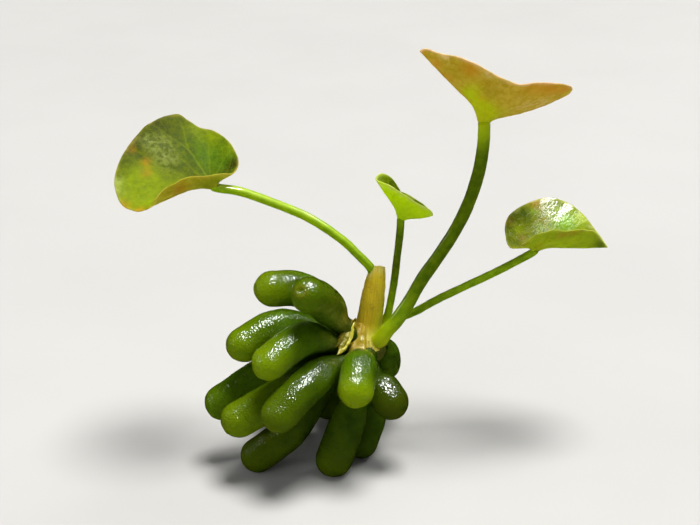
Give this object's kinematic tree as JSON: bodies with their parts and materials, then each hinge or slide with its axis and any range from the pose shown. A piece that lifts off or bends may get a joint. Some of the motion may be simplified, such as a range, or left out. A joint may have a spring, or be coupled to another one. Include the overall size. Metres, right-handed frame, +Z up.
{
  "type": "banana lily",
  "caption": "Banana lily plant standing free on its cluster of banana-shaped tubers, with thin leaf stalks rising from a short crown to cupped floating-type leaves.",
  "frame": {"origin": "middle of the plant's bounding box, on the surface that its tubers stand on", "axes": "+X to the right along the widest leaf spread, +Y away from the pictured front, +Z up"},
  "size_m": [0.0754, 0.0351, 0.0674],
  "materials": {
    "tuber": "wet, glossy green plant skin with fine pimples",
    "crown": "moist yellow-green stem with brown scale remnants",
    "sheath": "dry ochre papery scale with fine lengthwise fibres",
    "petiole": "moist smooth green stalk",
    "blade_left": "waxy yellow-green leaf with red-brown margin",
    "blade_centre": "young bright lime leaf",
    "blade_top": "ochre leaf underside with pinkish-brown margin",
    "blade_right": "wet glossy green leaf with brown-ochre rim"
  },
  "bodies": {
    "root": {"tuber_01_top_back": "tuber", "tuber_02_top_front": "tuber", "tuber_03_left_upper": "tuber", "tuber_04_left_front": "tuber", "tuber_05_left_back": "tuber", "tuber_06_left_lower": "tuber", "tuber_07_front_long": "tuber", "tuber_08_foot_left": "tuber", "tuber_09_front_short": "tuber", "tuber_10_right_back": "tuber", "tuber_11_right": "tuber", "tuber_12_foot_front": "tuber", "tuber_13_foot_right": "tuber", "tuber_14_foot_back_left": "tuber", "tuber_15_foot_back": "tuber", "tuber_16_foot_back_right": "tuber", "tuber_17_back_left": "tuber", "tuber_18_back": "tuber", "crown": "crown", "leaf_sheath": "sheath", "petiole_left": "petiole", "petiole_centre": "petiole", "petiole_tall": "petiole", "petiole_right": "petiole", "blade_left": "blade_left", "blade_centre": "blade_centre", "blade_top": "blade_top", "blade_right": "blade_right"}
  },
  "joints": []
}
